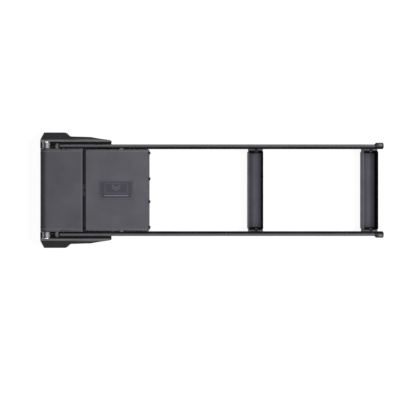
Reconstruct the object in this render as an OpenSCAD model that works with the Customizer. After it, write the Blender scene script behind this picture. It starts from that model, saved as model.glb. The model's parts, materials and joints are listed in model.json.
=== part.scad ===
// Twin-rail camera slider: a motorised platform carriage rolls between two round rails.
// The rails pivot on a splayed end foot, so the far end can be raised for inclined moves.
// Units are millimetres. X runs along the rails, +Z is up, and the origin is on the table,
// at the centre of the footprint. "rear" is +Y and "front" is -Y.

/* [Overall] */
// Half of the overall length, from the nose screws to the rail end caps
half_len = 428.5; // [420:0.5:440]

/* [Rails] */
// Diameter of each rail
rail_d = 12; // [11.8:0.1:12]
// Distance between the two rail axes
rail_gauge = 217.2; // [217:0.1:218]
// Height of the rail axes above the table
rail_z = 56; // [56:0.5:58]
// Length of a rail end cap
cap_len = 22; // [18:1:26]
// Diameter of a rail end cap
cap_d = 16.4; // [14:0.2:18]

/* [Cross ties] */
// Width of each cross tie along the rails
tie_w = 39.4; // [36:0.2:40]
// Height of a tie's top edge above the table
tie_top = 31; // [28:0.5:31]
// Sheet thickness of the ties
tie_t = 3; // [2:0.5:3]
// Centre of the middle tie along the rails
tie_mid_x = 111.6; // [60:0.2:160]
// Distance from the end of the rails' caps to the centre of the end tie
tie_end_inset = 24.3; // [24:0.1:60]
// Centre of the tie that joins the two side feet
tie_foot_x = -383; // [-384:1:-380]

/* [Side feet] */
// Height of the feet's top rim
foot_top = 62; // [61:0.5:64]
// Inner face of each foot, measured from the centre line
foot_in = 120.8; // [120.8:0.1:121.2]
// Outer edge of the flared part, measured from the centre line
foot_out = 147.1; // [142:0.1:150]
// Height at which the outer face starts to slope inwards
foot_shoulder = 28; // [24:1:32]
// Thickness of the inner wall
foot_wall = 5; // [4:0.5:5]
// Thickness of the outer skin
foot_skin = 3; // [2:0.5:3]
// Height of the underside at the tip
foot_tip_z = 32; // [20:1:32]

/* [Carriage] */
// Length of the carriage between its end faces
car_len = 269.5; // [266:0.5:272]
// Width of the carriage
car_w = 202.8; // [202:0.2:203]
// Height of the deck's top above the table
deck_top = 71; // [71:0.5:74]
// Thickness of the deck plates
deck_t = 3; // [2.5:0.5:3]
// Underside of the carriage above the table
car_bottom = 33; // [33:0.5:34]
// Radius of the folds along the deck's long edges
fold_r = 6; // [5:0.5:6]
// Radius of the rounded nose
nose_r = 12; // [8:1:12]
// Width of the camera slot across the deck
slot_w = 7.4; // [7:0.2:9]
// Distance from the nose face to the centre of the slot
slot_inset = 111.5; // [107:0.1:112]

/* [Guide rollers] */
// Distance from the nose face to the first pair of rollers
roller_inset = 58.5; // [53:0.5:62]
// Distance between the roller pairs
wheelbase = 144.5; // [140:0.5:150]
// Outer radius of a roller's flanges
roller_r = 6.9; // [6.8:0.1:7.1]
// Height of a roller
roller_h = 14; // [13:0.5:14]

/* [Drive] */
// Gear module
gear_m = 0.8; // [0.8:0.1:0.8]
// Teeth on the gear that is part of the drive roller
teeth_roller = 18; // [18:1:18]
// Teeth on the idler
teeth_idler = 32; // [32:2:36]
// Teeth on the motor pinion
teeth_pinion = 16; // [16:1:16]
// Side of the square motor
motor_w = 42; // [35:1:42]

/* [Hidden] */
$fn = 48;
SIDES = [-1, 1];

// rails
rail_r = rail_d / 2;
rail_y = rail_gauge / 2;
rail_x0 = -379.5;
rail_x1 = half_len - cap_len;
rail_bottom = rail_z - rail_r;

// end caps
cap_r = cap_d / 2;
cap_y = rail_y - rail_r + cap_r;
cap_cone = 5;

// pivot at the left end of each rail
hub_x = -414.2;
hub_r = 10.2;
hub_in = 104;
hub_out = 118.5;
pivot_r = 4;
pivot_head_r = 5.4;
pivot_head_h = 2.2;
run_gap = 0.05;
side_gap = 0.3;
stud_r = 4;
stud_x0 = hub_x + pivot_head_r + 1;
stud_in_rail = 16;
nut_r = 9.2;
nut_t = 6.2;
nut_x = -388.6;
nut_edge = 0.6;

// side feet
foot_x0 = -half_len + 1.5;
foot_x1 = -254.2;
foot_base_x1 = -372;
rim_out = foot_in + 4.7;
shelf_z = 34;
shelf_t = 3;
shelf_w = 9;
pocket_in = 104.4;
pocket_x1 = -398;
pocket_wall = 1.5;
pad_t = 3;
foot_bolt_dx = 10;
foot_bolt_z = 16;
foot_bolt_r = 2.5;

// cross ties and the saddles that carry the rails above them
tie_end_x = half_len - tie_end_inset;
tie_z0 = 2.5;
tie_y = 100.2;
tie_corner = 3.6;
flange_z = 18;
flange_y = 101.2;
saddle_w = 36.6;
saddle_dx = 0.8;
saddle_top = 27;
post_w = 18;
end_post_dx = -8;
saddle_post_in = 105.6;
saddle_out = 114.3;
saddle_screw_r = 2.5;
saddle_screw_head = 6;
tie_screw_dx = 2;
tie_screw_y = 99.8;
tie_screw_r = 2;
post_xs = [tie_mid_x, tie_end_x + end_post_dx];
m5_head_r = 4.4;
m5_head_h = 2.8;

// carriage
badge_inset = 78.9;
nose_head_h = 1.5;
nose_x = -half_len + nose_head_h;
car_x1 = nose_x + car_len;
car_y = car_w / 2;
deck_z = deck_top - deck_t;
deck_lip_z = 60;
plate_t = 3;
nose_y = car_y + 1.9;
nose_fold_r = 5;
nose_lip_z = 64;
nose_wall_y = 99;
tub_t = 2;
tub_y = car_y - fold_r;
skirt_y = 104;
post_l = 12;
post_y = 98;
floor_z = car_bottom + tub_t;
slot_x = nose_x + slot_inset;
channel_w = 26;
channel_d = 12;
channel_t = 2;
channel_stop_h = 4;
nut_l = 30;
nut_gap = 0.3;
camera_thread_r = 2.6;

// rollers
roller_xs = [nose_x + roller_inset, nose_x + roller_inset + wheelbase];
roller_gap = 0.2;
roller_core = 5;
roller_y = rail_y - rail_r - roller_gap - roller_core;
groove_r = rail_r + roller_gap;
roller_z0 = rail_z - roller_h / 2;
bearing_in = 2;
bearing_out = 3.5;
bearing_w = 2.5;
axle_r = bearing_in - 0.03;
clip_r = 3.2;

// drive train, in a row across the carriage at the second roller pair
drive_x = roller_xs[1];
idler_y = roller_y - gear_m * (teeth_roller + teeth_idler) / 2;
motor_y = idler_y - gear_m * (teeth_idler + teeth_pinion) / 2;
gear_z = deck_z - 4.3;
gear_t = 3.3;
backlash = 0.08;
pressure = 20;
bracket_z = gear_z - 2.7;
bracket_t = 2;
bracket_x = motor_w / 2 + 3;
motor_h = 24;
motor_shaft_r = 2.5;
motor_screw_at = 15.5;

// electrics on the nose
switch_y = 64;
switch_z = 45;
switch_l = 19.2;
switch_h = 13.2;
switch_pivot_x = nose_x + 3.2;
rocker_half = 7.2;
rocker_rise = 1.8;
socket_y = 30;
socket_r = 5.5;
battery = [[-400, -72, floor_z], [-346, 0, floor_z + 19]];
board = [[-297, -40], [-255, 30]];
wire_r = 1.4;

// screws of the carriage shell
m4_head_r = 3.5;
m4_head_h = 4;
m4_r = 2;
m4_len = 12;
end_screw_y = [28.6, 93.1];
end_screw_z = 52;
nose_screw_y = 93.2;
nose_screw_z = 54;

// ---------- helpers ----------

// Draws its children, which are modelled at +Y, on the rear (+1) or the front (-1) side
module on_side(s) {
    if (s > 0) children();
    else mirror([0, 1, 0]) children();
}

module both_sides() {
    for (s = SIDES) on_side(s) children();
}

// A box given by its two opposite corners
module block(low, high) {
    translate(low) cube(high - low);
}

// Cylinders along X, Y and Z, starting at a point
module rod_x(at, r, len) {
    translate(at) rotate([0, 90, 0]) cylinder(r = r, h = len);
}

module rod_y(at, r, len) {
    translate(at) rotate([-90, 0, 0]) cylinder(r = r, h = len);
}

module rod_z(at, r, len) {
    translate(at) cylinder(r = r, h = len);
}

module ring_z(z, outer, inner, h) {
    translate([0, 0, z]) difference() {
        cylinder(r = outer, h = h);
        translate([0, 0, -1]) cylinder(r = inner, h = h + 2);
    }
}

// A rectangle with rounded corners, centred
module round_rect(w, l, r) {
    union() {
        square([w - 2 * r, l], center = true);
        square([w, l - 2 * r], center = true);
        for (x = [-1, 1], y = [-1, 1])
            translate([x * (w / 2 - r), y * (l / 2 - r)]) circle(r);
    }
}

// A profile drawn as [Y, Z] and swept along X from x0 to x1
module sweep_x(x0, x1) {
    translate([x0, 0, 0]) rotate([90, 0, 90]) linear_extrude(x1 - x0) children();
}

// A profile drawn as [X, Z] and swept along Y from y0 to y1
module sweep_y(y0, y1) {
    translate([0, y1, 0]) rotate([90, 0, 0]) linear_extrude(y1 - y0) children();
}

// A screw pointing along -Z with its head's underside at the origin and a hexagon socket
module screw(len, r, head_r, head_h, crown) {
    difference() {
        union() {
            translate([0, 0, -len]) cylinder(r = r, h = len + 0.3);
            cylinder(r = head_r, h = head_h - crown);
            translate([0, 0, head_h - crown]) cylinder(r1 = head_r, r2 = head_r - 1.2 * crown, h = crown);
        }
        translate([0, 0, head_h * 0.45]) cylinder(r = head_r * 0.42, h = head_h, $fn = 6);
    }
}

module cap_screw(len) {
    screw(len, m4_r, m4_head_r, m4_head_h, 0.4);
}

module button_screw(len, r) {
    screw(len, r, m5_head_r, m5_head_h, 1.4);
}

// ---------- gears ----------

function polar(radius, angle) = [radius * cos(angle), radius * sin(angle)];

// The angle whose tangent curve an involute follows at a radius
function involute_angle(radius, base) =
    let (t = sqrt(max(0, pow(radius / base, 2) - 1))) t * 180 / PI - atan(t);

// Half the angle of a tooth at a radius, with the backlash taken off each flank
function tooth_half(radius, teeth, pitch, base) =
    90 / teeth - backlash / pitch * 180 / PI + involute_angle(pitch, base) - involute_angle(radius, base);

// Outline of a spur gear whose first tooth points along +X
function gear_outline(teeth, steps = 5) =
    let (pitch = gear_m * teeth / 2,
         base = pitch * cos(pressure),
         root = pitch - 1.25 * gear_m,
         tip = pitch + 0.95 * gear_m,
         start = max(root + 0.05, base),
         radii = [for (i = [0:steps]) start + (tip - start) * i / steps])
    [for (k = [0:teeth - 1])
        let (centre = 360 * k / teeth, foot = tooth_half(start, teeth, pitch, base))
        each concat(
            [polar(root, centre - foot)],
            [for (q = radii) polar(q, centre - tooth_half(q, teeth, pitch, base))],
            [for (i = [steps:-1:0]) polar(radii[i], centre + tooth_half(radii[i], teeth, pitch, base))],
            [polar(root, centre + foot)])];

// A gear at gear height; turn is the direction in which its first tooth points
module gear(teeth, turn, bore) {
    translate([0, 0, gear_z]) linear_extrude(gear_t) difference() {
        rotate(turn) polygon(gear_outline(teeth));
        circle(bore);
    }
}

// ---------- end foot ----------

// Outline of a side foot from above: flared over the pivot and tapering to a tip
module foot_plan() {
    polygon([[foot_x0, foot_in], [foot_x0, foot_out], [-373, foot_out], [-365, 139.1], [-353, 135.3],
             [-304, 133.8], [-279, 129], [foot_x1, 125.2], [foot_x1, foot_in]]);
}

// Hollow of a side foot from above
module foot_hollow_plan() {
    polygon([[foot_x0 + foot_skin, foot_in], [foot_x0 + foot_skin, foot_out], [-375.5, foot_out],
             [-368, 137.5], [-355, 132.3], [-309, 130.8], [-309, foot_in]]);
}

// A hollow wing with an inner shelf, which widens into a pocket under the pivot hub
module side_foot() {
    lean = (foot_out - rim_out) / (foot_top - foot_shoulder);
    hollow_y = foot_out - 1.15 * foot_skin;
    hollow_in = foot_in + foot_wall;
    color("#2b2c2e") difference() {
        union() {
            intersection() {
                linear_extrude(foot_top) foot_plan();
                sweep_x(foot_x0, foot_x1) polygon([[foot_in, pad_t], [foot_out, pad_t],
                    [foot_out, foot_shoulder], [rim_out, foot_top], [foot_in, foot_top]]);
                sweep_y(foot_in, foot_out) polygon([[foot_x0, pad_t], [foot_base_x1, pad_t],
                    [foot_x1, foot_tip_z], [foot_x1, foot_top], [foot_x0, foot_top]]);
            }
            block([foot_x0, foot_in - shelf_w, shelf_z], [foot_x1, foot_in, shelf_z + shelf_t]);
            block([foot_x0, pocket_in, shelf_z], [pocket_x1, foot_in, shelf_z + shelf_t]);
            block([foot_x0, pocket_in, shelf_z], [foot_x0 + pocket_wall, foot_in, foot_top]);
        }
        intersection() {
            linear_extrude(foot_top) foot_hollow_plan();
            sweep_x(foot_x0, foot_x1) polygon([[hollow_in, 0], [hollow_y, 0], [hollow_y, foot_shoulder],
                [hollow_in, foot_shoulder + (hollow_y - hollow_in) / lean]]);
        }
        rod_y([hub_x, foot_in - 1, rail_z], pivot_r, foot_wall + 1);
        for (dx = [-1, 1])
            rod_y([tie_foot_x + dx * foot_bolt_dx, foot_in - 1, foot_bolt_z], foot_bolt_r, foot_wall + 2);
    }
}

// Rubber pad under the flare of each foot
module foot_pads() {
    color("#101010") both_sides()
        block([foot_x0 + 4, foot_in + 0.6, 0], [-376, foot_out - 0.8, pad_t]);
}

// Open-topped channel with closed ends and rounded corners
module channel_body(x, half_y) {
    half = tie_w / 2 - tie_t;
    translate([x, 0, 0]) difference() {
        translate([0, 0, tie_z0]) linear_extrude(tie_top - tie_z0) round_rect(tie_w, 2 * half_y, tie_corner);
        block([-half, tie_t - half_y, tie_z0 + tie_t], [half, half_y - tie_t, tie_top + 1]);
    }
}

module foot_tie() {
    color("#4b4b50") difference() {
        channel_body(tie_foot_x, foot_in);
        both_sides() for (dx = [-1, 1])
            rod_y([tie_foot_x + dx * foot_bolt_dx, foot_in - tie_t - 1, foot_bolt_z], foot_bolt_r, tie_t + 2);
    }
}

module foot_tie_bolts() {
    color("#18181a") both_sides() for (dx = [-1, 1])
        translate([tie_foot_x + dx * foot_bolt_dx, foot_in - tie_t, foot_bolt_z]) {
            rotate([90, 0, 0]) button_screw(foot_wall + tie_t + 5, foot_bolt_r);
            translate([0, foot_wall + tie_t, 0]) rotate([-90, 0, 0]) difference() {
                cylinder(r = 4.6, h = 4, $fn = 6);
                translate([0, 0, -1]) cylinder(r = foot_bolt_r, h = 6);
            }
        }
}

// Shoulder bolts that turn in the hubs, with their heads sunk, and screw into the feet's inner walls
module pivot_bolts() {
    head_y = hub_in + 0.1;
    shank_y = head_y + pivot_head_h - 0.3;
    color("#8d8e92") both_sides() {
        rod_y([hub_x, shank_y, rail_z], pivot_r, foot_in + foot_wall - 0.2 - shank_y);
        difference() {
            rod_y([hub_x, head_y, rail_z], pivot_head_r, pivot_head_h);
            translate([hub_x, head_y - 1, rail_z]) rotate([-90, 0, 0]) cylinder(r = 2.4, h = 2.4, $fn = 6);
        }
    }
}

module pivot_washers() {
    color("#c9cace") both_sides() difference() {
        rod_y([hub_x, hub_out + side_gap, rail_z], hub_r + 0.6, foot_in - hub_out - side_gap);
        rod_y([hub_x, hub_out, rail_z], pivot_r, 10);
    }
}

// ---------- rail frame ----------

module rail() {
    color("#5e5e63") difference() {
        union() {
            rod_x([rail_x0 + 1, rail_y, rail_z], rail_r, rail_x1 - rail_x0 - 1);
            translate([rail_x0, rail_y, rail_z]) rotate([0, 90, 0])
                cylinder(r1 = rail_r - 1, r2 = rail_r, h = 1);
        }
        rod_x([rail_x0 - 1, rail_y, rail_z], stud_r, stud_in_rail + 1);
        rod_x([rail_x1 - 7, rail_y, rail_z], m4_r, 8);
        for (x = post_xs)
            rod_z([x, rail_y, rail_bottom - 1], saddle_screw_r, 6);
    }
}

module pivot_hub() {
    color("#b9babf") difference() {
        translate([hub_x, hub_in, rail_z]) rotate([-90, 0, 0]) {
            cylinder(r1 = hub_r - 1, r2 = hub_r, h = 1);
            translate([0, 0, 1]) cylinder(r = hub_r, h = hub_out - hub_in - 2);
            translate([0, 0, hub_out - hub_in - 1]) cylinder(r1 = hub_r, r2 = hub_r - 1, h = 1);
        }
        rod_y([hub_x, hub_in - 1, rail_z], pivot_r + run_gap, hub_out - hub_in + 2);
        rod_y([hub_x, hub_in - 1, rail_z], pivot_head_r + side_gap, pivot_head_h + side_gap + 1.1);
        rod_x([stud_x0, rail_y, rail_z], stud_r, hub_r);
    }
}

module rail_studs() {
    color("#141416") both_sides()
        rod_x([stud_x0, rail_y, rail_z], stud_r, rail_x0 + stud_in_rail - stud_x0);
}

// Round nuts with spanner slots that lock the studs
module lock_nuts() {
    color("#6d6d72") both_sides() translate([nut_x, rail_y, rail_z]) rotate([0, 90, 0]) difference() {
        union() {
            cylinder(r1 = nut_r - nut_edge, r2 = nut_r, h = nut_edge);
            translate([0, 0, nut_edge]) cylinder(r = nut_r, h = nut_t - 2 * nut_edge);
            translate([0, 0, nut_t - nut_edge]) cylinder(r1 = nut_r, r2 = nut_r - nut_edge, h = nut_edge);
        }
        translate([0, 0, -1]) cylinder(r = stud_r, h = nut_t + 2);
        for (turn = [45:90:315])
            rotate(turn) block([nut_r - 1.2, -1.2, -1], [nut_r + 1, 1.2, nut_t + 1]);
    }
}

// Cap that swells outwards from the rail, held by a screw along the rail's axis
module end_cap() {
    color("#2a2b2d") difference() {
        union() {
            hull() {
                rod_x([rail_x1, rail_y, rail_z], rail_r, 0.5);
                rod_x([rail_x1 + cap_cone - 0.5, cap_y, rail_z], cap_r, 0.5);
            }
            rod_x([rail_x1 + cap_cone - 0.5, cap_y, rail_z], cap_r, cap_len - cap_cone - 0.5);
            translate([half_len - 1, cap_y, rail_z]) rotate([0, 90, 0])
                cylinder(r1 = cap_r, r2 = cap_r - 1, h = 1);
        }
        rod_x([rail_x1 - 1, rail_y, rail_z], m4_r, cap_len + 2);
        rod_x([half_len - m4_head_h - 0.5, rail_y, rail_z], m4_head_r, m4_head_h + 1);
    }
}

module end_cap_screws() {
    color("#9a9ba0") both_sides() translate([half_len - m4_head_h - 0.5, rail_y, rail_z])
        rotate([0, 90, 0]) cap_screw(cap_len + 2);
}

// A tie between the rails: a channel with a flange at each end that rests on the saddles
module cross_tie(x) {
    half = tie_w / 2 - tie_t;
    x0 = x + saddle_dx - saddle_w / 2;
    color("#4b4b50") difference() {
        union() {
            channel_body(x, tie_y);
            both_sides() block([x0, tie_y - tie_t, flange_z], [x0 + saddle_w, flange_y, flange_z + tie_t]);
        }
        both_sides() {
            block([x - half, tie_y - tie_t - 2, flange_z + tie_t], [x + half, tie_y + 1, tie_top + 1]);
            rod_z([x + tie_screw_dx, tie_screw_y, flange_z - 11], tie_screw_r + 0.3, 12 + tie_t);
        }
    }
}

// Blocks at the ends of a tie, with a post up to each rail; the rollers pass beside the posts
module rail_saddles(x, post_x) {
    x0 = x + saddle_dx - saddle_w / 2;
    half_post = post_w / 2;
    color("#55565b") both_sides() difference() {
        union() {
            block([x0, tie_y, tie_z0], [x0 + saddle_w, saddle_out, flange_z]);
            block([x0, flange_y + 0.2, tie_z0], [x0 + saddle_w, saddle_out, saddle_top]);
            block([post_x - half_post, saddle_post_in, tie_z0],
                  [post_x + half_post, saddle_out, rail_bottom + 2]);
        }
        rod_x([x - saddle_w, rail_y, rail_z], rail_r + 0.01, 2 * saddle_w);
        rod_z([post_x, rail_y, 0], saddle_screw_r, rail_z);
        rod_z([post_x, rail_y, 0], m5_head_r, tie_z0 + saddle_screw_head);
        rod_z([x + tie_screw_dx, tie_screw_y, flange_z - 10], tie_screw_r, 11 + tie_t);
        rod_z([x + tie_screw_dx, tie_screw_y, flange_z + tie_t], m5_head_r + 0.4, tie_top);
    }
}

module saddle_screws() {
    z = tie_z0 + saddle_screw_head;
    color("#18181a") both_sides() for (x = post_xs)
        translate([x, rail_y, z]) mirror([0, 0, 1]) screw(rail_bottom + 4.9 - z, saddle_screw_r, 4.2, 5, 0.4);
}

module tie_screws() {
    color("#0c0c0e") both_sides() for (x = [tie_mid_x, tie_end_x])
        translate([x + tie_screw_dx, tie_screw_y, flange_z + tie_t]) button_screw(tie_t + 10, tie_screw_r);
}

module tie_pads() {
    color("#101010") both_sides() for (x = [tie_mid_x, tie_end_x])
        block([x - tie_w / 2 + 3, 52, 0], [x + tie_w / 2 - 3, 90, tie_z0]);
}

// ---------- carriage shell ----------

// Cross-section of a cover as [Y, Z]: flat on top, with both long edges folded down to z0
module fold_profile(half, top, r, z0) {
    union() {
        translate([-half, z0]) square([2 * half, top - r - z0]);
        translate([r - half, z0]) square([2 * (half - r), top - z0]);
        for (s = SIDES) translate([s * (half - r), top - r]) circle(r);
    }
}

// Side view of the nose, set in by t
module nose_outline(t) {
    bend_z = deck_top - nose_r;
    bend_x = nose_x + nose_r;
    z0 = car_bottom - t;
    union() {
        translate([nose_x + t, z0]) square([nose_r - t, bend_z - z0]);
        translate([bend_x, z0]) square([slot_x - bend_x, deck_top - t - z0]);
        translate([bend_x, bend_z]) circle(nose_r - t);
    }
}

// Room for a roller in a cover's long edge, open at the top over the roller's rim
module roller_notch(x) {
    block([x - 6, car_y - deck_t, deck_lip_z - 1], [x + 6, nose_y + 1, deck_top + 1]);
    block([x - 9, tub_y, deck_lip_z - 1], [x + 9, nose_y + 1, deck_z]);
}

// Left part of the deck, rounded over into the nose; its edges reach a little over the rails
module nose_cover() {
    x1 = slot_x - slot_w / 2;
    color("#525357") difference() {
        intersection() {
            sweep_y(-nose_y, nose_y) nose_outline(0);
            sweep_x(nose_x, x1) fold_profile(nose_y, deck_top, nose_fold_r, car_bottom);
        }
        intersection() {
            sweep_y(-nose_y, nose_y) nose_outline(plate_t);
            sweep_x(nose_x, slot_x)
                fold_profile(nose_y - plate_t, deck_z, nose_fold_r - plate_t, car_bottom - 1);
        }
        both_sides() {
            block([nose_x - 1, nose_wall_y, car_bottom - 1], [slot_x, nose_y + 1, nose_lip_z]);
            roller_notch(roller_xs[0]);
            rod_x([nose_x - 1, nose_screw_y, nose_screw_z], m4_r, plate_t + 2);
        }
        block([nose_x - 1, switch_y - switch_l / 2, switch_z - switch_h / 2],
              [nose_x + plate_t + 1, switch_y + switch_l / 2, switch_z + switch_h / 2]);
        rod_x([nose_x - 1, socket_y, switch_z], socket_r, plate_t + 2);
    }
}

// Right part of the deck
module deck_plate() {
    color("#5b5a5f") difference() {
        sweep_x(slot_x + slot_w / 2, car_x1) difference() {
            fold_profile(car_y, deck_top, fold_r, deck_lip_z);
            fold_profile(car_y - deck_t, deck_z, fold_r - deck_t, deck_lip_z - 1);
        }
        block([car_x1 - plate_t - 0.2, -car_y - 1, deck_lip_z - 1], [car_x1 + 1, car_y + 1, deck_z]);
        both_sides() roller_notch(roller_xs[1]);
    }
}

// Folded tub: a floor whose edges run on under the rails, and two side walls with roller windows
module carriage_tub() {
    x0 = nose_x + plate_t;
    x1 = car_x1 - plate_t;
    window = roller_r + 2;
    channel_half = channel_w / 2;
    color("#3d3e42") difference() {
        union() {
            block([x0, -skirt_y, car_bottom], [x1, skirt_y, floor_z]);
            both_sides()
                block([x0 + post_l + 0.2, tub_y - tub_t, car_bottom], [x1 - post_l - 0.2, tub_y, deck_z]);
        }
        block([slot_x - channel_half, -tub_y - 1, deck_z - channel_d],
              [slot_x + channel_half, tub_y + 1, deck_z + 1]);
        both_sides() for (x = roller_xs) {
            block([x - window, tub_y - tub_t - 1, floor_z], [x + window, tub_y + 1, deck_z + 1]);
            rod_z([x, roller_y, car_bottom + 0.5], axle_r, tub_t);
        }
    }
}

// Tapped posts on the tub's floor, to which the nose cover and the end plate are screwed
module tub_posts() {
    x0 = nose_x + plate_t;
    x1 = car_x1 - plate_t;
    z1 = deck_top - nose_r - 1;
    color("#8d8e92") both_sides() difference() {
        union() {
            block([x0, post_y - 10, floor_z], [x0 + post_l, post_y, z1]);
            block([x1 - post_l, post_y - 10, floor_z], [x1, post_y, z1]);
            block([x1 - post_l, end_screw_y[0] - 5, floor_z], [x1, end_screw_y[0] + 5, z1]);
        }
        rod_x([x0 - 1, nose_screw_y, nose_screw_z], m4_r, m4_len);
        for (y = end_screw_y) rod_x([x1 - m4_len + 2, y, end_screw_z], m4_r, m4_len);
    }
}

module end_plate() {
    color("#55555a") difference() {
        sweep_x(car_x1 - plate_t, car_x1) fold_profile(car_y, deck_top, fold_r, car_bottom);
        block([car_x1 - plate_t - 1, -car_y, deck_z], [car_x1 + 1, car_y, deck_top + 1]);
        both_sides() for (y = end_screw_y) rod_x([car_x1 - plate_t - 1, y, end_screw_z], m4_r, plate_t + 2);
    }
}

module end_plate_screws() {
    color("#141416") both_sides() for (y = end_screw_y)
        translate([car_x1, y, end_screw_z]) rotate([0, 90, 0]) cap_screw(m4_len);
}

module nose_screws() {
    color("#141416") both_sides()
        translate([nose_x, nose_screw_y, nose_screw_z]) rotate([0, -90, 0])
            screw(m4_len, m4_r, m4_head_r, nose_head_h, 0.6);
}

// Open channel under the slot, with a low stop at each end, in which the camera nut slides
module slot_channel() {
    half = channel_w / 2;
    z0 = deck_z - channel_d;
    color("#1d1d20") difference() {
        block([slot_x - half, -tub_y, z0], [slot_x + half, tub_y, deck_z]);
        block([slot_x - half + channel_t, channel_t - tub_y, z0 + channel_t],
              [slot_x + half - channel_t, tub_y - channel_t, deck_z + 1]);
        block([slot_x - half + channel_t, -tub_y - 1, z0 + channel_t + channel_stop_h],
              [slot_x + half - channel_t, tub_y + 1, deck_z + 1]);
    }
}

// Flat nut with the camera screw's thread
module camera_nut() {
    half = channel_w / 2 - channel_t - nut_gap;
    z0 = deck_z - channel_d + channel_t + nut_gap;
    color("#26262a") difference() {
        block([slot_x - half, -nut_l / 2, z0], [slot_x + half, nut_l / 2, deck_z - nut_gap]);
        rod_z([slot_x, 0, z0 - 1], camera_thread_r, channel_d);
    }
}

// Plain nameplate with a thin frame, a window with two stacked chevrons, and a bar below it
module name_badge() {
    w = 84;
    l = 46;
    line = 0.2;
    window_w = 56;
    window_l = 24;
    chevron = [[0, -2], [10.5, 5.5], [10.5, 8.3], [0, 0.8], [-10.5, 8.3], [-10.5, 5.5]];
    color("#4b4a56") translate([car_x1 - badge_inset, 0, deck_top]) union() {
        linear_extrude(0.5) round_rect(w, l, 3);
        linear_extrude(0.5 + line) difference() {
            round_rect(w - 3, l - 3, 2.4);
            round_rect(w - 5, l - 5, 1.6);
        }
        linear_extrude(0.5 + line) translate([0, 4.5]) difference() {
            round_rect(window_w, window_l, 1.6);
            round_rect(window_w - 2, window_l - 2, 0.8);
        }
        for (y = [0, 5.6])
            linear_extrude(0.5 + line) translate([0, y]) polygon(chevron);
        linear_extrude(0.5 + line) translate([0, -13.3]) round_rect(58, 2.4, 1);
    }
}

// ---------- carriage running gear ----------

// A pin on the tub floor with a shoulder under each roller
module roller_axles() {
    color("#a3a4a8") both_sides() for (x = roller_xs) {
        rod_z([x, roller_y, floor_z], 2.9, roller_z0 - 0.3 - floor_z);
        rod_z([x, roller_y, car_bottom + 0.5], axle_r, axle_top(x) - car_bottom - 0.5);
    }
}

function axle_top(x) = x == drive_x ? deck_z - 0.3 : rail_z + roller_h / 2 + 1.4;

module axle_clips() {
    color("#77787c") both_sides() for (x = roller_xs)
        translate([x, roller_y, 0]) ring_z(axle_top(x) - 0.6, clip_r, axle_r, 0.5);
}

// Grooved roller between flanges, centred on the rail's height
module roller_body() {
    color("#d4d4d0") translate([0, 0, roller_z0]) rotate_extrude() difference() {
        translate([bearing_out, 0]) square([roller_r - bearing_out, roller_h]);
        translate([roller_core + groove_r, roller_h / 2]) circle(groove_r);
    }
}

module at_roller(i, s) {
    translate([roller_xs[i], s * roller_y, 0]) children();
}

// Grooved roller with its drive gear on top
module drive_roller() {
    color("#d4d4d0") union() {
        roller_body();
        ring_z(roller_z0 + roller_h - 0.1, 5.4, bearing_in + 0.4, gear_z - roller_z0 - roller_h + 0.2);
        gear(teeth_roller, -90, bearing_in + 0.4);
    }
}

module bearings() {
    color("#b0b1b5") for (z = [roller_z0, roller_z0 + roller_h - bearing_w - 0.2])
        ring_z(z, bearing_out, bearing_in, bearing_w);
}

// Bridge over the motor that carries it and the idler's pin
module drive_bracket() {
    plate_y0 = motor_y - motor_w / 2 - 2;
    plate_y1 = idler_y + 8;
    color("#4a4b50") translate([drive_x, 0, 0]) difference() {
        union() {
            block([-bracket_x, plate_y0, bracket_z], [bracket_x, plate_y1, bracket_z + bracket_t]);
            for (s = SIDES)
                block([s > 0 ? bracket_x - 2 : -bracket_x, plate_y0, floor_z],
                      [s > 0 ? bracket_x : 2 - bracket_x, plate_y1, bracket_z + 1]);
        }
        rod_z([0, motor_y, bracket_z - 1], 8, bracket_t + 2);
        rod_z([0, idler_y, bracket_z - 1], bearing_in, bracket_t + 2);
        at_motor_screws() {
            rod_z([0, 0, -1], 1.5, bracket_t + 2);
            rod_z([0, 0, bracket_t - 1.4], 2.8, 2);
        }
    }
}

module at_motor_screws() {
    for (x = SIDES, y = SIDES)
        translate([x * motor_screw_at, motor_y + y * motor_screw_at, bracket_z]) children();
}

module drive_motor() {
    color("#1c1c1f") translate([drive_x, motor_y, bracket_z - motor_h]) difference() {
        linear_extrude(motor_h) round_rect(motor_w, motor_w, 4);
        rod_z([0, 0, motor_h - 7], motor_shaft_r + run_gap, 8);
        for (x = SIDES, y = SIDES)
            rod_z([x * motor_screw_at, y * motor_screw_at, motor_h - 5], 1.5, 6);
    }
}

module motor_screws() {
    color("#8d8e92") translate([drive_x, 0, 0]) at_motor_screws() {
        rod_z([0, 0, -4], 1.5, bracket_t + 3);
        rod_z([0, 0, bracket_t - 1.4], 2.8, 1.3);
    }
}

module idler_pin() {
    color("#a3a4a8") translate([drive_x, idler_y, 0]) {
        rod_z([0, 0, bracket_z], bearing_in, bracket_t);
        rod_z([0, 0, bracket_z + bracket_t], clip_r, gear_z - bracket_z - bracket_t - 0.2);
        rod_z([0, 0, gear_z - 1], axle_r, gear_t + 1.5);
        ring_z(gear_z + gear_t + 0.1, clip_r, axle_r - 0.1, 0.4);
    }
}

module idler_gear() {
    color("#cfcfca") translate([drive_x, idler_y, 0]) gear(teeth_idler, 90 + 180 / teeth_idler, bearing_in);
}

module motor_pinion() {
    color("#b79a55") translate([drive_x, motor_y, 0]) union() {
        gear(teeth_pinion, 90, motor_shaft_r - 0.5);
        rod_z([0, 0, bracket_z - 6.5], motor_shaft_r, deck_z - 1 - bracket_z + 6.5);
    }
}

// ---------- electrics ----------

module battery_pack() {
    color("#24507c") block(battery[0], battery[1]);
}

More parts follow.
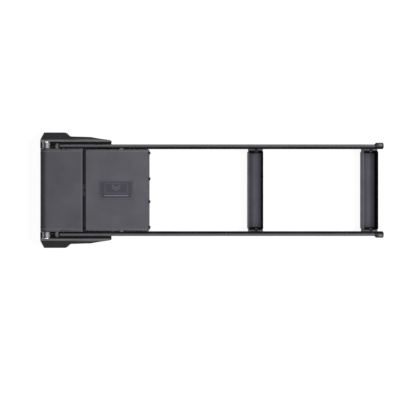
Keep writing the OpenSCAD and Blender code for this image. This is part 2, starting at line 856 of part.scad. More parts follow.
// Circuit board on stand-offs with its larger components
module control_board() {
    z = floor_z + 6;
    low = board[0];
    high = board[1];
    color("#1f5a38") union() {
        block([low.x, low.y, z], [high.x, high.y, z + 1.6]);
        for (x = [low.x + 4, high.x - 4], y = [low.y + 4, high.y - 4]) rod_z([x, y, floor_z], 2.5, 6.5);
        block([low.x + 12, low.y + 20, z + 1], [low.x + 28, low.y + 36, z + 3.2]);
        block([low.x, low.y + 2, z + 1], [low.x + 8, low.y + 12, z + 8]);
        block([high.x - 12, high.y - 10, z + 1], [high.x, high.y, z + 8]);
        for (y = [-18, 0]) rod_z([high.x - 8, y, z + 1], 4, 9);
    }
}

// A wire along a list of points, with round elbows
module wire(path) {
    for (i = [1:len(path) - 1]) {
        step = path[i] - path[i - 1];
        along = norm(step);
        translate(path[i - 1]) rotate([0, acos(step.z / along), atan2(step.y, step.x)])
            cylinder(r = wire_r, h = along, $fn = 16);
        if (i < len(path) - 1) translate(path[i]) sphere(r = wire_r, $fn = 16);
    }
}

module wiring() {
    z = floor_z + 10;
    low = board[0];
    high = board[1];
    color("#702222") {
        wire([[nose_x + 15, switch_y, z], [high.x - 6, switch_y, z], [high.x - 6, high.y, z]]);
        wire([[nose_x + 12, socket_y, z], [-373, socket_y, z], [-373, battery[1].y, z]]);
        wire([[battery[1].x, low.y + 7, z], [low.x, low.y + 7, z]]);
        wire([[high.x, high.y - 5, z], [drive_x, high.y - 5, z], [drive_x, motor_y - motor_w / 2, z]]);
    }
}

module switch_housing() {
    color("#101012") difference() {
        union() {
            block([nose_x - 1.5, switch_y - switch_l / 2 - 1, switch_z - switch_h / 2 - 1],
                  [nose_x, switch_y + switch_l / 2 + 1, switch_z + switch_h / 2 + 1]);
            block([nose_x - 1, switch_y - switch_l / 2, switch_z - switch_h / 2],
                  [nose_x + 15, switch_y + switch_l / 2, switch_z + switch_h / 2]);
        }
        block([nose_x - 2, switch_y - switch_l / 2 + 1, switch_z - switch_h / 2 + 1.4],
              [nose_x + 12, switch_y + switch_l / 2 - 1, switch_z + switch_h / 2 - 1.4]);
        rod_z([switch_pivot_x, switch_y, switch_z - switch_h], 1.2 + run_gap, 2 * switch_h);
    }
}

// Rocker in its off position: one half flush, the other raised
module switch_rocker() {
    h = switch_h - 2 * 1.4 - 0.6;
    face = 2.6;
    color("#8c1d1d") translate([switch_pivot_x, switch_y, switch_z]) union() {
        translate([0, 0, -h / 2]) linear_extrude(h) polygon([[0.5, -rocker_half],
            [-face - rocker_rise, -rocker_half], [-face, 0], [-face, rocker_half], [0.5, rocker_half]]);
        rod_z([0, 0, 0.6 - switch_h / 2], 1.2, switch_h - 1.2);
    }
}

module charge_socket() {
    color("#0e0e10") translate([nose_x, socket_y, switch_z]) rotate([0, 90, 0]) union() {
        difference() {
            union() {
                translate([0, 0, -1]) cylinder(r = socket_r + 1.2, h = 1);
                translate([0, 0, -0.5]) cylinder(r = socket_r, h = 12.5);
            }
            translate([0, 0, -2]) cylinder(r = 2.85, h = 12);
        }
        translate([0, 0, 2]) cylinder(r = 1, h = 9);
    }
}

// ---------- assembly ----------

on_side(-1) side_foot();  // side_foot_front
on_side(1) side_foot();  // side_foot_rear
foot_tie();
foot_tie_bolts();
pivot_bolts();
pivot_washers();
foot_pads();
on_side(-1) rail();  // rail_front
on_side(1) rail();  // rail_rear
on_side(-1) pivot_hub();  // pivot_hub_front
on_side(1) pivot_hub();  // pivot_hub_rear
rail_studs();
lock_nuts();
on_side(-1) end_cap();  // end_cap_front
on_side(1) end_cap();  // end_cap_rear
end_cap_screws();
cross_tie(tie_mid_x);  // tie_middle
cross_tie(tie_end_x);  // tie_end
rail_saddles(tie_mid_x, post_xs[0]);  // rail_saddles_middle
rail_saddles(tie_end_x, post_xs[1]);  // rail_saddles_end
saddle_screws();
tie_screws();
tie_pads();
nose_cover();
deck_plate();
carriage_tub();
tub_posts();
end_plate();
end_plate_screws();
nose_screws();
slot_channel();
name_badge();
roller_axles();
axle_clips();
drive_bracket();
drive_motor();
motor_screws();
idler_pin();
battery_pack();
control_board();
wiring();
switch_housing();
charge_socket();
switch_rocker();
camera_nut();
at_roller(0, -1) roller_body();  // guide_roller_left_front
at_roller(0, 1) roller_body();  // guide_roller_left_rear
at_roller(1, -1) roller_body();  // guide_roller_right_front
at_roller(1, 1) drive_roller();
at_roller(0, -1) bearings();  // bearings_left_front
at_roller(0, 1) bearings();  // bearings_left_rear
at_roller(1, -1) bearings();  // bearings_right_front
at_roller(1, 1) bearings();  // bearings_right_rear
idler_gear();
motor_pinion();
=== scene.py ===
"""Looks of a twin-rail camera slider: materials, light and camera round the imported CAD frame."""
import json
import math
from functools import partial

import bpy
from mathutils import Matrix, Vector


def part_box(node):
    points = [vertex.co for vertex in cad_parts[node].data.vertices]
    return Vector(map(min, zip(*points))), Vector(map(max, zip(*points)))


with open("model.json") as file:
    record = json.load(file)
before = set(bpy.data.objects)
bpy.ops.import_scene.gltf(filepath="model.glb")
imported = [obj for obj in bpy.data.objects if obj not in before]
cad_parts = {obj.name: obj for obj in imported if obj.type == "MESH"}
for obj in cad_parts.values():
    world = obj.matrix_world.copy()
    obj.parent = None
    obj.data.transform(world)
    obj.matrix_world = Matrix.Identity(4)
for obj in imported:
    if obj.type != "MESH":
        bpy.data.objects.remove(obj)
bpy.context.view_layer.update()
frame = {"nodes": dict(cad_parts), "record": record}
NODES = frame["nodes"]
MM = 0.001
TURN = 2 * math.pi
# A violet black used for painted shade on the ties and rails.
PAINTED_SHADE_VIOLET = (0.0033, 0.003, 0.0055)


def middle(node):
    """Centre of a CAD node's box."""
    low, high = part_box(node)
    return (low + high) / 2


def grey(value, warmth=0.0):
    """A grey that warmth above 0 turns towards red, and below 0 towards blue."""
    return (value * (1 + warmth), value, value * (1 - warmth))


def tinted(colour, factor):
    """A colour made lighter or darker, kept below white."""
    return [min(1.0, c * factor) for c in colour]


# ---------- node helpers ----------

class Graph:
    """A material's node tree, built one call at a time."""

    def __init__(self, name):
        self.material = bpy.data.materials.new(name)
        self.material.use_nodes = True
        self.tree = self.material.node_tree
        self.tree.nodes.clear()
        self.shader = self.node("ShaderNodeBsdfPrincipled")
        output = self.node("ShaderNodeOutputMaterial")
        self.link(self.shader.outputs["BSDF"], output.inputs["Surface"])
        self.place = self.node("ShaderNodeTexCoord").outputs["Object"]

    def node(self, kind, **settings):
        made = self.tree.nodes.new(kind)
        for key, value in settings.items():
            setattr(made, key, value)
        return made

    def link(self, source, target):
        self.tree.links.new(source, target)

    def feed(self, socket, value):
        """Links a socket to another's output, or sets its value."""
        if isinstance(value, bpy.types.NodeSocket):
            self.link(value, socket)
        elif isinstance(value, (tuple, list)) and len(value) == 3 and socket.type == "RGBA":
            socket.default_value = (*value, 1.0)
        else:
            socket.default_value = value

    def scaled(self, scale):
        """Object coordinates stretched by (x, y, z)."""
        mapping = self.node("ShaderNodeMapping")
        self.link(self.place, mapping.inputs["Vector"])
        mapping.inputs["Scale"].default_value = scale
        return mapping.outputs["Vector"]

    def noise(self, size, detail, stretch=(1, 1, 1)):
        """Noise from 0 to 1 with features about size metres across."""
        made = self.node("ShaderNodeTexNoise")
        self.link(self.scaled([s / size for s in stretch]), made.inputs["Vector"])
        made.inputs["Scale"].default_value = 1.0
        made.inputs["Detail"].default_value = detail
        made.inputs["Roughness"].default_value = 0.55
        return made.outputs["Fac"]

    def cells(self, size):
        """Distance to the nearest point of a random set about size metres apart."""
        made = self.node("ShaderNodeTexVoronoi")
        self.link(self.scaled([1 / size] * 3), made.inputs["Vector"])
        made.inputs["Scale"].default_value = 1.0
        return made.outputs["Distance"]

    def axis(self, letter):
        split = self.node("ShaderNodeSeparateXYZ")
        self.link(self.place, split.inputs["Vector"])
        return split.outputs[letter]

    def off_centre(self):
        """Distance from the slider's lengthwise centre line."""
        return self.math("ABSOLUTE", self.axis("Y"))

    def math(self, operation, a, b=0.0):
        made = self.node("ShaderNodeMath", operation=operation)
        self.feed(made.inputs[0], a)
        self.feed(made.inputs[1], b)
        return made.outputs["Value"]

    def ramp(self, value, low, high, out_low=0.0, out_high=1.0):
        made = self.node("ShaderNodeMapRange")
        self.feed(made.inputs["Value"], value)
        for key, number in zip(("From Min", "From Max", "To Min", "To Max"), (low, high, out_low, out_high)):
            made.inputs[key].default_value = number
        return made.outputs["Result"]

    def band(self, value, rise, fall):
        """1 between two ramps, each given by the values where it starts and ends."""
        return self.math("MULTIPLY", self.ramp(value, *rise), self.ramp(value, *fall))

    def spread(self, noise, low=0.0, high=1.0):
        """Stretches noise, which keeps near its middle, to run from low to high."""
        return self.ramp(noise, 0.3, 0.7, low, high)

    def waves(self, value, pitch):
        """A sine from -1 to 1 with one wave in each pitch of the value."""
        return self.math("SINE", self.math("MULTIPLY", value, TURN / pitch))

    def mix(self, fac, a, b):
        made = self.node("ShaderNodeMix", data_type="RGBA")
        self.feed(made.inputs[0], fac)
        self.feed(made.inputs[6], a)
        self.feed(made.inputs[7], b)
        return made.outputs[2]

    def bump(self, height, strength, distance, under=None):
        made = self.node("ShaderNodeBump")
        made.inputs["Strength"].default_value = strength
        made.inputs["Distance"].default_value = distance
        self.feed(made.inputs["Height"], height)
        if under is not None:
            self.link(under, made.inputs["Normal"])
        return made.outputs["Normal"]

    def edges(self, radius):
        """1 on edges and corners, 0 on flat surfaces."""
        rounded = self.node("ShaderNodeBevel", samples=4)
        rounded.inputs["Radius"].default_value = radius
        flat = self.node("ShaderNodeNewGeometry").outputs["Normal"]
        dot = self.node("ShaderNodeVectorMath", operation="DOT_PRODUCT")
        self.link(rounded.outputs["Normal"], dot.inputs[0])
        self.link(flat, dot.inputs[1])
        return self.ramp(dot.outputs["Value"], 0.995, 0.86)

    def set(self, **values):
        """Values on the shader's own sockets, such as base_color or roughness."""
        for key, value in values.items():
            self.feed(self.shader.inputs[key.replace("_", " ").title().replace("Ior", "IOR")], value)
        return self.material


# ---------- materials ----------

def powder_coat(name, colour, edge, shine, patch, roughness=0.55, grain=0.35 * MM, depth=0.25):
    """Fine-grained paint: pebbled bump, slow tone shifts, handling marks, and edges painted lighter, partly
    as wear and partly as a painted edge highlight.

    patch is a function that takes the graph and the paint's colour, and returns the colour to use.
    """
    g = Graph(name)
    cloud = g.spread(g.noise(60 * MM, 2), 0.9, 1.1)
    speck = g.spread(g.noise(grain, 2), 0.93, 1.07)
    shade = g.math("MULTIPLY", cloud, speck)
    dull = g.mix(g.ramp(shade, 0.8, 1.2), tinted(colour, 0.8), tinted(colour, 1.2))
    # Lighter edges: partly real wear, partly a painted highlight along every edge.
    rubbing_and_highlight = g.math("MULTIPLY", g.edges(0.5 * MM), g.ramp(g.noise(5 * MM, 4), 0.35, 0.65, 0.45, 1.0))
    base = patch(g, g.mix(rubbing_and_highlight, dull, tinted(colour, edge)))
    rough = g.math("ADD", g.spread(g.noise(22 * MM, 5), -0.05, 0.05), roughness)
    pebble = g.bump(g.cells(grain * 1.6), depth, 0.02 * MM)
    return g.set(base_color=base, roughness=rough, normal=pebble, specular_ior_level=shine)


def foot_rim_highlight(g, base):
    """Paints a highlight on the feet's flat rim in a lighter grey, broken up by streaky noise, and more
    faintly on the upper edge of their tails.
    """
    right, _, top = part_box("side_foot_rear")[1]
    tail_x = right - 95.8 * MM
    wall_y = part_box("pivot_washers")[1].y
    painted_highlight = g.spread(g.noise(9 * MM, 4, stretch=(0.25, 1, 1)), 0.75, 1.0)
    # Painted highlight on the feet's flat rim and, fainter, on the tails' upper edge.
    rim = g.math("MULTIPLY", g.ramp(g.axis("Z"), top - 0.9 * MM, top - 0.4 * MM), painted_highlight)
    tail = g.math("MULTIPLY", g.ramp(g.axis("X"), tail_x, tail_x + 25 * MM),
                  g.ramp(g.axis("Z"), top - 9 * MM, top))
    outside = g.ramp(g.off_centre(), wall_y - 0.3 * MM, wall_y)
    paler = g.math("MAXIMUM", rim, g.math("MULTIPLY", tail, 0.4))
    return g.mix(g.math("MULTIPLY", paler, outside), base, (0.16, 0.157, 0.166))


def deck_shading(g, base):
    """Paints shade on the nose's bend, the slot's rims and the end plate's face, and paints highlight lines.

    The painted highlight lines run beside the slot and along the folds; the nose cover also keeps a slightly
    cooler tint of its own.
    """
    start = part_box("nose_cover")[0].x
    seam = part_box("nose_cover")[1].x
    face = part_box("end_plate")[1].x
    along = g.axis("X")
    # Painted shade on the nose's bend; left gives the nose cover its own slightly cooler tint.
    bend = g.ramp(along, start + 21 * MM, start + 11 * MM, 0.0, 0.74)
    left = g.ramp(along, seam + 1 * MM, seam, 0.0, 0.1)
    nose_shade_and_tint = g.mix(g.math("MAXIMUM", bend, left), base, (0.008, 0.014, 0.022))
    # Painted highlight lines beside the slot and along the deck's folds.
    slot_highlight = g.band(along, (seam - 4.8 * MM, seam - 4.2 * MM), (seam - 1.6 * MM, seam - 2 * MM))
    fold_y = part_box("deck_plate")[1].y - 6 * MM
    fold = g.band(g.off_centre(), (fold_y - 0.8 * MM, fold_y), (fold_y + 2.6 * MM, fold_y + 1.8 * MM))
    painted_highlight = g.mix(g.math("MULTIPLY", g.math("MAXIMUM", slot_highlight, fold), 0.3), nose_shade_and_tint, grey(0.17))
    slot_x = (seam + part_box("deck_plate")[0].x) / 2
    # Painted shade on the slot's rims.
    rim_x = g.math("ABSOLUTE", g.math("SUBTRACT", along, slot_x))
    shaded_rims = g.mix(g.ramp(rim_x, 4.6 * MM, 4.2 * MM, 0.0, 0.75), painted_highlight, (0.014, 0.0128, 0.019))
    # Painted shade on the end plate's right face.
    return g.mix(g.ramp(along, face - 0.5 * MM, face - 0.2 * MM, 0.0, 0.85), shaded_rims, grey(0.015))


def tie_light_and_shade(g, base):
    """Painted light and shade on the ties: a highlight along each channel's middle, shade towards the ends
    and on the right wall, and highlights on the saddle tops.
    """
    end_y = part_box("tie_end")[1].y
    side = g.off_centre()
    # Painted shade: each tie's floor darkens towards its ends.
    painted_floor_light = g.ramp(side, end_y - 22 * MM, end_y - 6 * MM, 1.0, 0.75)
    # Painted shade: black near each tie's ends, inside its walls.
    ends = g.band(side, (end_y - 6 * MM, end_y - 5.5 * MM), (end_y + 0.4 * MM, end_y + 0.2 * MM))
    saddle = g.band(side, (end_y + 0.2 * MM, end_y + 0.4 * MM), (end_y + 4.3 * MM, end_y + 4.1 * MM))
    # Painted highlight on the saddles' tops.
    saddle_highlight = g.math("MULTIPLY", saddle, g.ramp(g.axis("Z"), 25.5 * MM, 26.5 * MM))
    black = 0.0
    for node, lift in (("tie_middle", 0.95), ("tie_end", 0.55)):
        offset = g.math("SUBTRACT", g.axis("X"), middle(node).x)
        inside = g.math("LESS_THAN", g.math("ABSOLUTE", offset), 16.5 * MM)
        # Painted highlight along the channel floor's middle, with painted shade beside its walls.
        middle_highlight = g.ramp(g.math("ABSOLUTE", g.math("SUBTRACT", offset, 4.5 * MM)), 13 * MM, 1 * MM, -0.34, lift)
        painted_floor_light = g.math("MULTIPLY", painted_floor_light, g.math("ADD", 1.0, g.math("MULTIPLY", inside, middle_highlight)))
        beyond = g.math("SUBTRACT", g.axis("X"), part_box(node)[1].x)
        # Painted shade: black on the right wall's top and inner face.
        wall = g.band(beyond, (-3.5 * MM, -3.2 * MM), (2 * MM, 1 * MM))
        black = g.math("MAXIMUM", black, g.math("MAXIMUM", wall, g.math("MULTIPLY", inside, ends)))
    toned = g.node("ShaderNodeVectorMath", operation="SCALE")
    g.feed(toned.inputs[0], base)
    g.feed(toned.inputs["Scale"], painted_floor_light)
    return g.mix(saddle_highlight, g.mix(black, toned.outputs["Vector"], PAINTED_SHADE_VIOLET), grey(0.15))


def anodised(name, colour, roughness, along):
    """Drawn and anodised aluminium: fine lines along one axis."""
    g = Graph(name)
    stretch = [0.015 if letter == along else 1.0 for letter in "XYZ"]
    lines = g.noise(0.35 * MM, 3, stretch=stretch)
    tone = g.mix(g.spread(lines), tinted(colour, 0.88), tinted(colour, 1.12))
    # Edges painted lighter: partly wear, partly a painted edge highlight.
    base = g.mix(g.edges(0.4 * MM), tone, tinted(colour, 1.5))
    rough = g.math("ADD", g.spread(lines, -0.05, 0.05), roughness)
    return g.set(base_color=base, roughness=rough, metallic=0.35, normal=g.bump(lines, 0.12, 0.01 * MM))


def rail_finish(name):
    """Grey anodised rail with painted shade: its inner flank, facing the other rail, is painted black."""
    g = Graph(name)
    inward = g.math("SUBTRACT", middle("rail_rear").y, g.off_centre())
    # Painted shade: the rail's inner flank turns black, broken up a little by noise.
    inner_flank_shade = g.ramp(inward, -2.3 * MM, 2.1 * MM)
    lines = g.noise(0.4 * MM, 3, stretch=(0.01, 1, 1))
    light = g.mix(g.spread(lines), (0.116, 0.113, 0.124), (0.146, 0.143, 0.156))
    shade_breakup = g.ramp(g.noise(40 * MM, 4, stretch=(0.3, 1, 1)), 0.35, 0.65, 0.9, 1.0)
    base = g.mix(g.math("MULTIPLY", inner_flank_shade, shade_breakup), light, PAINTED_SHADE_VIOLET)
    rough = g.math("ADD", g.spread(lines, -0.04, 0.04), 0.45)
    return g.set(base_color=base, roughness=rough, specular_ior_level=0.0,
                 normal=g.bump(lines, 0.1, 0.01 * MM))


def hub_painted_shade(g, base):
    """Painted shade on each pivot hub: a dark band across its middle, with an even grey to its left."""
    offset = g.math("SUBTRACT", g.axis("X"), middle("pivot_hub_rear").x)
    # Painted shade: a dark band across the hub's middle.
    shaded = g.mix(g.ramp(offset, 2.8 * MM, 2.3 * MM), base, grey(0.045))
    return g.mix(g.ramp(offset, -2 * MM, -2.6 * MM), shaded, grey(0.25))


def turned_metal(name, colour, ring_axis, centre, roughness, metallic, patch):
    """Turned metal with rings about an axis through centre, and faint marks; patch as in powder_coat."""
    g = Graph(name)
    pitch = 0.35 * MM
    keep = [0.0 if letter == ring_axis else 1.0 for letter in "XYZ"]
    flat = g.node("ShaderNodeVectorMath", operation="MULTIPLY")
    g.link(g.place, flat.inputs[0])
    flat.inputs[1].default_value = keep
    distance = g.node("ShaderNodeVectorMath", operation="DISTANCE")
    g.link(flat.outputs["Vector"], distance.inputs[0])
    distance.inputs[1].default_value = [c * k for c, k in zip(centre, keep)]
    cut = g.math("ADD", g.waves(distance.outputs["Value"], pitch), g.waves(g.axis(ring_axis), 1.4 * pitch))
    marks = g.noise(2.5 * MM, 5)
    base = patch(g, g.mix(g.spread(marks), tinted(colour, 0.86), colour))
    rough = g.math("ADD", g.spread(marks, -0.06, 0.08), roughness)
    return g.set(base_color=base, roughness=rough, metallic=metallic, normal=g.bump(cut, 0.12, 0.01 * MM))


def plating_tones(g, base):
    """The washers beside the feet are coloured a much lighter grey; the plated parts inside the carriage a
    darker one.
    """
    side = g.off_centre()
    washer_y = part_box("pivot_washers")[1].y - 3 * MM
    carriage_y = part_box("deck_plate")[1].y
    darkened = g.mix(g.ramp(side, carriage_y, carriage_y - 0.3 * MM), base, grey(0.1))
    return g.mix(g.ramp(side, washer_y, washer_y + 0.3 * MM), darkened, grey(0.6))


def plated_steel(name, colour, roughness, metallic=1.0, edge=1.3, patch=None):
    """Plated steel with a cloudy sheen and edges painted lighter, partly as wear and partly as a painted edge
    highlight; patch as in powder_coat.
    """
    g = Graph(name)
    cloud = g.noise(1.8 * MM, 5)
    tone = g.mix(g.spread(cloud), tinted(colour, 0.8), tinted(colour, 1.1))
    # Edges painted lighter: partly wear, partly a painted edge highlight.
    base = g.mix(g.edges(0.25 * MM), tone, tinted(colour, edge))
    if patch:
        base = patch(g, base)
    rough = g.math("ADD", g.spread(cloud, -0.08, 0.08), roughness)
    return g.set(base_color=base, roughness=rough, metallic=metallic,
                 normal=g.bump(g.noise(0.5 * MM, 2), 0.1, 0.01 * MM))


def moulded(name, colour, roughness, grain=0.5 * MM, depth=0.2, edge=1.4, coat=0.0):
    """Injection-moulded plastic with a faint spark-eroded texture."""
    g = Graph(name)
    tone = g.mix(g.spread(g.noise(14 * MM, 3)), tinted(colour, 0.92), tinted(colour, 1.08))
    # Edges painted lighter, as a painted edge highlight.
    base = g.mix(g.edges(0.35 * MM), tone, tinted(colour, edge))
    rough = g.math("ADD", g.spread(g.noise(6 * MM, 4), -0.05, 0.06), roughness)
    return g.set(base_color=base, roughness=rough, coat_weight=coat,
                 normal=g.bump(g.noise(grain, 2), depth, 0.015 * MM))


def rubber(name):
    """Dusty rubber with moulded grooves across its length."""
    g = Graph(name)
    dust = g.ramp(g.noise(4 * MM, 5), 0.5, 0.75)
    base = g.mix(dust, grey(0.012), grey(0.03, 0.03))
    grooves = g.ramp(g.waves(g.axis("X"), 4 * MM), 0.2, 0.5)
    ribbed = g.bump(grooves, 0.8, 0.6 * MM)
    return g.set(base_color=base, roughness=0.85, specular_ior_level=0.3,
                 normal=g.bump(g.noise(0.6 * MM, 4), 0.5, 0.05 * MM, ribbed))


def cap_finish(name):
    """Moulded end cap with a painted grey highlight along the top and painted black shade on the flank that
    faces the other rail.
    """
    g = Graph(name)
    far_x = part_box("end_cap_rear")[1].x
    inward = g.math("SUBTRACT", middle("end_cap_rear").y, g.off_centre())
    cloud = g.spread(g.noise(3 * MM, 4), 0.7, 1.0)
    # Painted highlight: a grey band along the cap's top.
    rubbing_and_highlight = g.ramp(g.math("ABSOLUTE", g.math("ADD", inward, 2 * MM)), 4.4 * MM, 1.8 * MM)
    length = g.band(g.axis("X"), (far_x - 14 * MM, far_x - 12 * MM), (far_x - 3 * MM, far_x - 4.5 * MM))
    painted_highlight = g.math("MULTIPLY", g.math("MULTIPLY", rubbing_and_highlight, length), cloud)
    highlit_top = g.mix(painted_highlight, grey(0.04), (0.14, 0.15, 0.155))
    # Painted shade: black on the flank facing the other rail.
    base = g.mix(g.ramp(inward, 0.5 * MM, 5 * MM), highlit_top, grey(0.006))
    rough = g.math("ADD", g.ramp(cloud, 0.7, 1.0, -0.05, 0.06), 0.5)
    return g.set(base_color=base, roughness=rough, specular_ior_level=0.05,
                 normal=g.bump(g.noise(0.5 * MM, 2), 0.2, 0.015 * MM))


def badge_finish(name):
    """Brushed violet-grey plate whose raised lines are worn lighter, most of all the bar along its front."""
    g = Graph(name)
    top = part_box("name_badge")[1].z
    raised = g.ramp(g.axis("Z"), top - 0.2 * MM, top - 0.1 * MM)
    lines = g.noise(0.25 * MM, 3, stretch=(0.02, 1, 1))
    plate = g.mix(g.spread(lines), (0.044, 0.043, 0.058), (0.056, 0.055, 0.074))
    bar = g.mix(g.spread(g.noise(3 * MM, 4)), (0.13, 0.129, 0.142), (0.18, 0.179, 0.192))
    line = g.mix(g.ramp(g.axis("Y"), -11 * MM, -10 * MM, 0.0, 0.55), bar, (0.06, 0.059, 0.076))
    return g.set(base_color=g.mix(raised, plate, line), roughness=0.5, specular_ior_level=0.2,
                 normal=g.bump(lines, 0.12, 0.01 * MM))


def laminations(name):
    """Motor: painted end bells with a bare steel stack between them."""
    g = Graph(name)
    low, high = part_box("drive_motor")
    rise = g.math("DIVIDE", g.math("SUBTRACT", g.axis("Z"), low.z), high.z - low.z)
    stack = g.band(rise, (0.27, 0.28), (0.73, 0.72))
    sheets = g.waves(g.axis("Z"), 0.5 * MM)
    steel = g.mix(g.spread(g.noise(3 * MM, 4)), grey(0.2), grey(0.3))
    return g.set(base_color=g.mix(stack, grey(0.018), steel), roughness=0.4, metallic=stack,
                 normal=g.bump(g.math("MULTIPLY", sheets, stack), 0.3, 0.05 * MM))


def board_finish(name):
    """Green solder mask over the tracks, with black components above it."""
    g = Graph(name)
    mask_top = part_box("control_board")[0].z + 7.7 * MM
    above = g.ramp(g.axis("Z"), mask_top, mask_top + 0.05 * MM)
    tracks = g.ramp(g.waves(g.axis("X"), 3 * MM), 0.75, 0.85)
    mask = g.mix(tracks, (0.012, 0.09, 0.035), (0.03, 0.16, 0.05))
    chips = g.mix(g.spread(g.noise(2 * MM, 3)), grey(0.015), grey(0.03))
    return g.set(base_color=g.mix(above, mask, chips), roughness=0.35,
                 normal=g.bump(g.noise(0.8 * MM, 3), 0.15, 0.03 * MM))


# One finish for each material slot; each is called with the slot's name
FINISHES = {
    "satin_black_casting": partial(powder_coat, colour=(0.0167, 0.0158, 0.0182), edge=2.0, shine=0.06,
                                   roughness=0.6, grain=0.5 * MM, depth=0.35, patch=foot_rim_highlight),
    "grey_black_powder_coat": partial(powder_coat, colour=(0.098, 0.096, 0.11), edge=1.7, shine=0.1,
                                      patch=deck_shading),
    "black_powder_coat": partial(powder_coat, colour=(0.092, 0.089, 0.11), edge=1.4, shine=0.05,
                                 patch=tie_light_and_shade),
    "black_anodised_rail": rail_finish,
    "bare_aluminium": partial(turned_metal, colour=(0.257, 0.253, 0.266), ring_axis="Y",
                              centre=middle("pivot_hub_rear"), roughness=0.5, metallic=0.25, patch=hub_painted_shade),
    "zinc_steel": partial(plated_steel, colour=grey(0.34), roughness=0.36, patch=plating_tones),
    "black_oxide_steel": partial(plated_steel, colour=grey(0.009, -0.05), roughness=0.5, metallic=0.2,
                                 edge=2.2),
    "grey_steel_nut": partial(plated_steel, colour=grey(0.15, -0.03), roughness=0.4, metallic=0.3, edge=1.0),
    "black_moulded_cap": cap_finish,
    "pad_rubber": rubber,
    "black_anodised_channel": partial(anodised, colour=(0.005, 0.0044, 0.0075), roughness=0.5, along="Y"),
    "badge_plate": badge_finish,
    "roller_pom": partial(moulded, colour=(0.072, 0.072, 0.08), roughness=0.4, grain=0.3 * MM, depth=0.1,
                          edge=1.1),
    "bearing_steel": partial(plated_steel, colour=grey(0.34), roughness=0.3),
    "motor_steel": laminations,
    "pinion_brass": partial(plated_steel, colour=(0.62, 0.42, 0.14), roughness=0.3),
    "battery_wrap": partial(moulded, colour=(0.02, 0.07, 0.2), roughness=0.25, grain=3 * MM, depth=0.3,
                            coat=0.5),
    "circuit_board": board_finish,
    "wire_sleeve": partial(moulded, colour=(0.28, 0.02, 0.02), roughness=0.5),
    "switch_black": partial(moulded, colour=grey(0.014), roughness=0.35),
    "switch_red": partial(moulded, colour=(0.32, 0.02, 0.02), roughness=0.3, coat=0.3),
}
MATERIALS = {slot: finish(slot) for slot, finish in FINISHES.items()}


def dress_cad_nodes():
    """Gives every CAD node its slot's material."""
    for part in frame["record"]["subparts"]:
        mesh = NODES[part["node"]].data
        mesh.materials.clear()
        mesh.materials.append(MATERIALS[part["material_slot"]])


def round_edges(node, width):
    """Softens a node's sharp edges without touching its own mesh."""
    obj = NODES[node]
    obj.modifiers.new("weld", "WELD").merge_threshold = 1e-6
    flat = obj.modifiers.new("flat", "DECIMATE")
    flat.decimate_type = "DISSOLVE"
    flat.angle_limit = math.radians(0.5)
    bevel = obj.modifiers.new("bevel", "BEVEL")
    bevel.width = width
    bevel.segments = 2
    bevel.limit_method = "ANGLE"
    bevel.angle_limit = math.radians(35)
    bevel.harden_normals = True


# Edge radius in millimetres, and the nodes that have it
BEVEL_WIDTHS = {
    0.8: ["side_foot_front", "side_foot_rear"],
    0.5: ["deck_plate", "end_plate", "nose_cover", "battery_pack", "drive_motor", "rail_saddles_middle",
          "rail_saddles_end", "foot_pads", "tie_pads"],
    0.4: ["tie_middle", "tie_end", "foot_tie", "carriage_tub", "tub_posts", "slot_channel",
          "drive_bracket", "camera_nut"],
    0.2: ["name_badge", "switch_housing", "switch_rocker", "foot_tie_bolts", "end_plate_screws",
          "nose_screws", "tie_screws", "saddle_screws", "end_cap_screws", "pivot_bolts", "pivot_washers",
          "charge_socket"],
    0.1: ["drive_roller", "idler_gear", "motor_pinion", "guide_roller_left_front",
          "guide_roller_left_rear", "guide_roller_right_front"],
}

dress_cad_nodes()
for width, names in BEVEL_WIDTHS.items():
    for name in names:
        round_edges(name, width * MM)


# ---------- stage ----------

# In metres, with the floor just below the pads and the camera straight above the slider
FLOOR_REACH = 30.0
FLOOR_HEIGHT = -0.1 * MM
FLOOR_GLOW = 0.87
CAMERA_HEIGHT = 1.556
CAMERA_LENS_MM = 51.9
CAMERA_SENSOR_MM = 36.0
CAMERA_SHIFT = (-0.0088, -0.0428)
# Between these heights of the view's direction the walls fade from the first strength to the second
WALL_FADE = (0.12, 0.4)
WALL_STRENGTH = (0.9, 0.1)


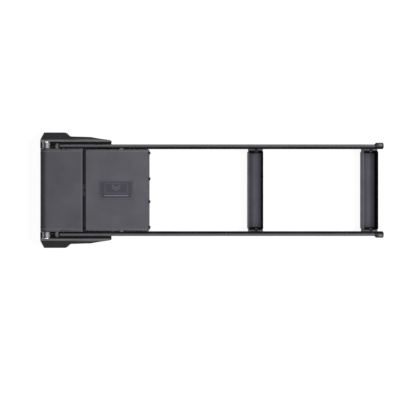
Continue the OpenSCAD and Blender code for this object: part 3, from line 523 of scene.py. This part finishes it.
def add_floor():
    """A floor that glows, so that it looks white where the lamps leave it dim."""
    mesh = bpy.data.meshes.new("floor")
    signs = ((-1, -1), (1, -1), (1, 1), (-1, 1))
    corners = [(FLOOR_REACH * x, FLOOR_REACH * y, FLOOR_HEIGHT) for x, y in signs]
    mesh.from_pydata(corners, [], [(0, 1, 2, 3)])
    floor = bpy.data.objects.new("floor", mesh)
    bpy.context.scene.collection.objects.link(floor)
    g = Graph("floor_white")
    g.set(base_color=grey(0.2), roughness=0.9, emission_color=grey(1.0), emission_strength=FLOOR_GLOW)
    mesh.materials.append(g.material)


def add_light(name, place, aim, width, length, power):
    """A rectangular lamp that points at aim."""
    data = bpy.data.lights.new(name, "AREA")
    data.shape = "RECTANGLE"
    data.size = width
    data.size_y = length
    data.energy = power
    light = bpy.data.objects.new(name, data)
    light.location = place
    light.rotation_euler = (Vector(aim) - Vector(place)).to_track_quat("-Z", "Y").to_euler()
    bpy.context.scene.collection.objects.link(light)


def add_camera():
    """Looks straight down, with the image's right along +X."""
    data = bpy.data.cameras.new("camera")
    data.sensor_width = CAMERA_SENSOR_MM
    data.lens = CAMERA_LENS_MM
    data.shift_x, data.shift_y = CAMERA_SHIFT
    data.clip_start = 0.05
    data.clip_end = 50.0
    camera = bpy.data.objects.new("camera", data)
    camera.location = (0, 0, CAMERA_HEIGHT)
    bpy.context.scene.collection.objects.link(camera)
    bpy.context.scene.camera = camera


def add_world():
    """A dim studio whose walls are white up to a little above the floor's horizon."""
    world = bpy.data.worlds.new("studio")
    world.use_nodes = True
    tree = world.node_tree
    background = tree.nodes["Background"]
    background.inputs["Color"].default_value = (1, 1, 1, 1)
    direction = tree.nodes.new("ShaderNodeTexCoord")
    split = tree.nodes.new("ShaderNodeSeparateXYZ")
    fade = tree.nodes.new("ShaderNodeMapRange")
    for key, number in zip(("From Min", "From Max", "To Min", "To Max"), WALL_FADE + WALL_STRENGTH):
        fade.inputs[key].default_value = number
    tree.links.new(direction.outputs["Generated"], split.inputs["Vector"])
    tree.links.new(split.outputs["Z"], fade.inputs["Value"])
    tree.links.new(fade.outputs["Result"], background.inputs["Strength"])
    bpy.context.scene.world = world
    bpy.context.scene.view_settings.view_transform = "Standard"


add_world()
add_floor()
add_light("overhead", place=(0.1, 0, 2.8), aim=(0, 0, 0), width=1.3, length=1.0, power=30)
add_light("right_box", place=(1.9, 0, 2.0), aim=(-0.1, 0, 0), width=0.8, length=1.6, power=65)
add_camera()
